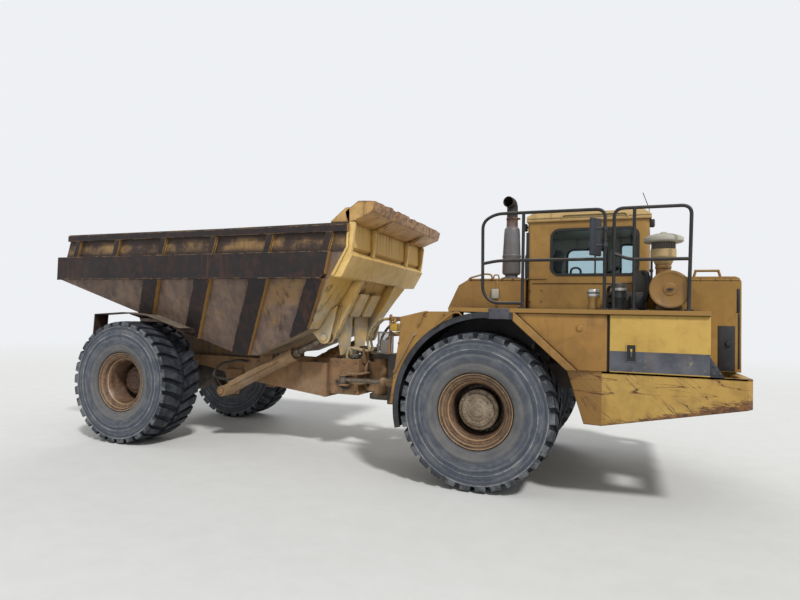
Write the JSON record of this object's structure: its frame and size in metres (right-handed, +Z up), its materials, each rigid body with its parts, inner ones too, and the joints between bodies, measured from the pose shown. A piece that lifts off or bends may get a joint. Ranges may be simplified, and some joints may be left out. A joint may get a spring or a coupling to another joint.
{
  "type": "articulated dump truck",
  "caption": "Two-axle articulated dump truck with a pivot-steered front unit, a hinged open dump body raised by two cylinders, a centre cab and earthmover tyres.",
  "frame": {"origin": "on the ground under the middle of the machine, halfway along its length and width", "axes": "+X forward, +Y to the driver's left, +Z up"},
  "size_m": [10.174, 3.48, 3.69],
  "materials": {
    "yellow_paint": "worn paint",
    "black_paint": "worn paint",
    "body_rust": "rust over old paint",
    "rim_paint": "rusty paint",
    "tyre": "dusty rubber",
    "glass": "clear",
    "engine_grey": "oily",
    "rusty_steel": "heat stained",
    "rod_steel": "polished"
  },
  "bodies": {
    "tractor": {"front_frame": "black_paint", "front_axle": "black_paint", "engine": "engine_grey", "bumper": "yellow_paint", "side_boxes": "yellow_paint", "fenders": "yellow_paint", "front_mudguards": "black_paint", "deck": "black_paint", "rear_cover": "yellow_paint", "cab_shell": "yellow_paint", "cab_glass": "glass", "cab_inside": "black_paint", "exhaust": "rusty_steel", "air_cleaner": "yellow_paint", "handrails": "black_paint", "mirrors": "black_paint", "lamps": "black_paint", "ladder": "black_paint"},
    "hood": {"hood": "yellow_paint", "grille": "black_paint"},
    "door": {"cab_door": "yellow_paint", "door_glass": "glass"},
    "hitch": {"hitch": "black_paint"},
    "rear": {"rear_frame": "yellow_paint", "rear_axle": "black_paint"},
    "body": {"tub": "body_rust", "tub_rails": "body_rust", "tub_front": "yellow_paint", "canopy": "yellow_paint", "rear_mudguards": "black_paint"},
    "hoist_barrels": {"hoist_barrels": "black_paint"},
    "hoist_stages": {"hoist_stages": "rod_steel"},
    "hoist_rods": {"hoist_rods": "rod_steel"},
    "steer_barrel_right": {"steer_barrel_right": "black_paint"},
    "steer_rod_right": {"steer_rod_right": "rod_steel"},
    "steer_barrel_left": {"steer_barrel_left": "black_paint"},
    "steer_rod_left": {"steer_rod_left": "rod_steel"},
    "wheel_front_right": {"tyre_front_right": "tyre", "rim_front_right": "rim_paint"},
    "wheel_front_left": {"tyre_front_left": "tyre", "rim_front_left": "rim_paint"},
    "wheel_rear_right": {"tyre_rear_right": "tyre", "rim_rear_right": "rim_paint"},
    "wheel_rear_left": {"tyre_rear_left": "tyre", "rim_rear_left": "rim_paint"}
  },
  "joints": [
    {"name": "steer", "type": "hinge", "parent": "tractor", "child": "hitch", "pos_m": [0.277, 0, 1.1], "axis": [0, 0, 1], "range_deg": [-45, 45]},
    {"name": "oscillate", "type": "hinge", "parent": "hitch", "child": "rear", "pos_m": [-0.123, 0, 1.11], "axis": [-1, 0, 0], "range_deg": [-15, 15]},
    {"name": "tip", "type": "hinge", "parent": "rear", "child": "body", "pos_m": [-4.067, 0, 1.4], "axis": [0, -1, 0], "range_deg": [0, 70]},
    {"name": "hood_tilt", "type": "hinge", "parent": "tractor", "child": "hood", "pos_m": [5.017, 0, 1.605], "axis": [0, 1, 0], "range_deg": [0, 55]},
    {"name": "door_swing", "type": "hinge", "parent": "tractor", "child": "door", "pos_m": [3.747, 0.844, 2.6], "axis": [0, 0, -1], "range_deg": [0, 80]},
    {"name": "hoist_swing", "type": "hinge", "parent": "rear", "child": "hoist_barrels", "pos_m": [-2.133, 0, 0.8], "axis": [0, -1, 0], "range_deg": [0, 76.23]},
    {"name": "hoist_extend", "type": "slide", "parent": "hoist_barrels", "child": "hoist_stages", "axis": [0.8944, 0, 0.4472], "range_m": [0, 1.155]},
    {"name": "hoist_reach", "type": "slide", "parent": "hoist_stages", "child": "hoist_rods", "axis": [0.8944, 0, 0.4472], "range_m": [0, 1.155]},
    {"name": "steer_swing_right", "type": "hinge", "parent": "tractor", "child": "steer_barrel_right", "pos_m": [1.827, -0.68, 1.1], "axis": [0, 0, 1], "range_deg": [-6, 6]},
    {"name": "steer_extend_right", "type": "slide", "parent": "steer_barrel_right", "child": "steer_rod_right", "axis": [-0.9999, -0.0108, 0], "range_m": [-0.515, 0.515]},
    {"name": "steer_swing_left", "type": "hinge", "parent": "tractor", "child": "steer_barrel_left", "pos_m": [1.827, 0.68, 1.1], "axis": [0, 0, 1], "range_deg": [-6, 6]},
    {"name": "steer_extend_left", "type": "slide", "parent": "steer_barrel_left", "child": "steer_rod_left", "axis": [-0.9999, 0.0108, 0], "range_m": [-0.515, 0.515]},
    {"name": "roll_front_right", "type": "hinge", "parent": "tractor", "child": "wheel_front_right", "pos_m": [2.227, -1.36, 0.945], "axis": [0, 1, 0], "continuous": true},
    {"name": "roll_front_left", "type": "hinge", "parent": "tractor", "child": "wheel_front_left", "pos_m": [2.227, 1.36, 0.945], "axis": [0, 1, 0], "continuous": true},
    {"name": "roll_rear_right", "type": "hinge", "parent": "rear", "child": "wheel_rear_right", "pos_m": [-3.387, -1.36, 0.945], "axis": [0, 1, 0], "continuous": true},
    {"name": "roll_rear_left", "type": "hinge", "parent": "rear", "child": "wheel_rear_left", "pos_m": [-3.387, 1.36, 0.945], "axis": [0, 1, 0], "continuous": true}
  ],
  "couplings": [
    {"joint": "hoist_swing", "follows": "tip", "ratio": 1.0846},
    {"joint": "hoist_extend", "follows": "tip", "m_per_rad": 0.94212},
    {"joint": "hoist_reach", "follows": "tip", "m_per_rad": 0.94212},
    {"joint": "steer_swing_right", "follows": "steer", "ratio": 0.1245},
    {"joint": "steer_extend_right", "follows": "steer", "m_per_rad": -0.65211},
    {"joint": "steer_swing_left", "follows": "steer", "ratio": 0.1245},
    {"joint": "steer_extend_left", "follows": "steer", "m_per_rad": 0.65211}
  ]
}
